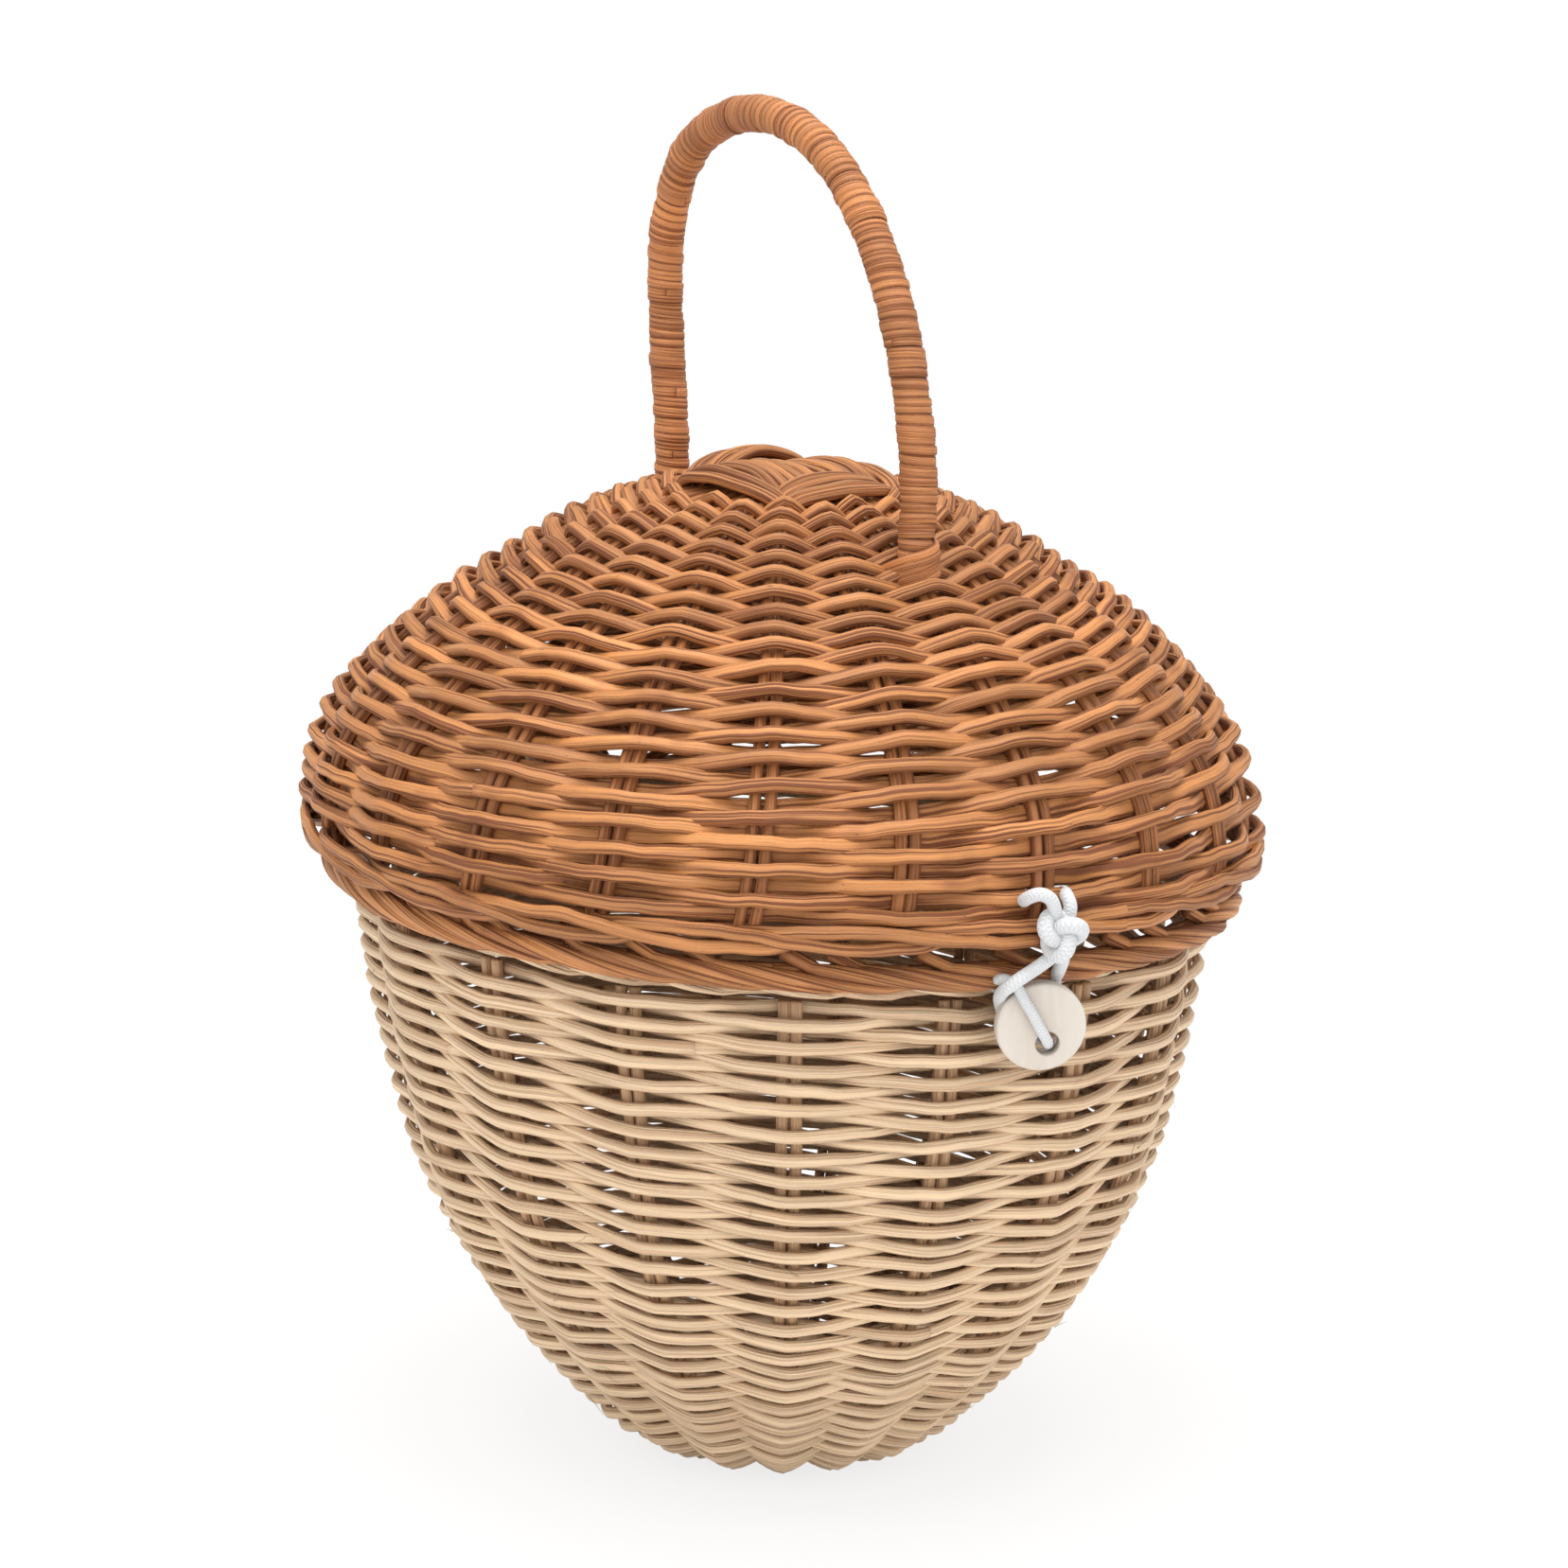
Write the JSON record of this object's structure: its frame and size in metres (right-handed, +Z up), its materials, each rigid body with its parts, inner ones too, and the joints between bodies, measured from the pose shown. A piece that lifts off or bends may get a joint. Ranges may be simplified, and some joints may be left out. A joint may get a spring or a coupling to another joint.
{
  "type": "lidded rattan basket",
  "caption": "Woven rattan basket with a domed hinged lid, a wrapped hoop handle, and an elastic loop that hooks over a wooden disc button.",
  "frame": {"origin": "centre of the flat underside of the base, where the basket stands", "axes": "+Z up; the clasp is at the front towards -Y; the hinge ties are at the back towards +Y"},
  "size_m": [0.2076, 0.2181, 0.3005],
  "materials": {
    "natural_cane": "natural pale rattan, dry, lightly grooved",
    "brown_cane": "brown stained rattan, slight sheen",
    "handle_cane": "split rattan wrap, slight sheen",
    "white_elastic": "white covered elastic cord, matte",
    "pale_wood": "pale turned wood, matte"
  },
  "bodies": {
    "basket": {"base": "natural_cane", "body_stake_01": "natural_cane", "body_stake_02": "natural_cane", "body_stake_03": "natural_cane", "body_stake_04": "natural_cane", "body_stake_05": "natural_cane", "body_stake_06": "natural_cane", "body_stake_07": "natural_cane", "body_stake_08": "natural_cane", "body_stake_09": "natural_cane", "body_stake_10": "natural_cane", "body_stake_11": "natural_cane", "body_stake_12": "natural_cane", "body_stake_13": "natural_cane", "body_stake_14": "natural_cane", "body_stake_15": "natural_cane", "body_stake_16": "natural_cane", "body_stake_17": "natural_cane", "body_weaver_01": "natural_cane", "body_weaver_02": "natural_cane", "body_weaver_03": "natural_cane", "body_weaver_04": "natural_cane", "body_weaver_05": "natural_cane", "body_border": "natural_cane", "hinge_tie_left": "natural_cane", "hinge_tie_right": "natural_cane", "button_cord": "white_elastic"},
    "lid": {"lid_crown": "brown_cane", "lid_stake_01": "brown_cane", "lid_stake_02": "brown_cane", "lid_stake_03": "brown_cane", "lid_stake_04": "brown_cane", "lid_stake_05": "brown_cane", "lid_stake_06": "brown_cane", "lid_stake_07": "brown_cane", "lid_stake_08": "brown_cane", "lid_stake_09": "brown_cane", "lid_stake_10": "brown_cane", "lid_stake_11": "brown_cane", "lid_stake_12": "brown_cane", "lid_stake_13": "brown_cane", "lid_stake_14": "brown_cane", "lid_stake_15": "brown_cane", "lid_stake_16": "brown_cane", "lid_stake_17": "brown_cane", "lid_stake_18": "brown_cane", "lid_stake_19": "brown_cane", "lid_stake_20": "brown_cane", "lid_stake_21": "brown_cane", "lid_rim_weaver": "brown_cane", "lid_weaver_01": "brown_cane", "lid_weaver_02": "brown_cane", "lid_weaver_03": "brown_cane", "lid_border": "brown_cane", "handle_core": "handle_cane", "handle_wrap": "handle_cane", "elastic_loop": "white_elastic"},
    "button": {"button": "pale_wood"}
  },
  "joints": [
    {"name": "lid_hinge", "type": "hinge", "parent": "basket", "child": "lid", "pos_m": [0, 0.0964, 0.13243], "axis": [-1, 0, 0], "range_deg": [0, 105], "deforming": ["elastic_loop"]},
    {"name": "button_swing", "type": "hinge", "parent": "basket", "child": "button", "pos_m": [0, -0.097, 0.126], "axis": [-1, 0, 0], "range_deg": [0, 60], "deforming": ["button_cord"]}
  ]
}
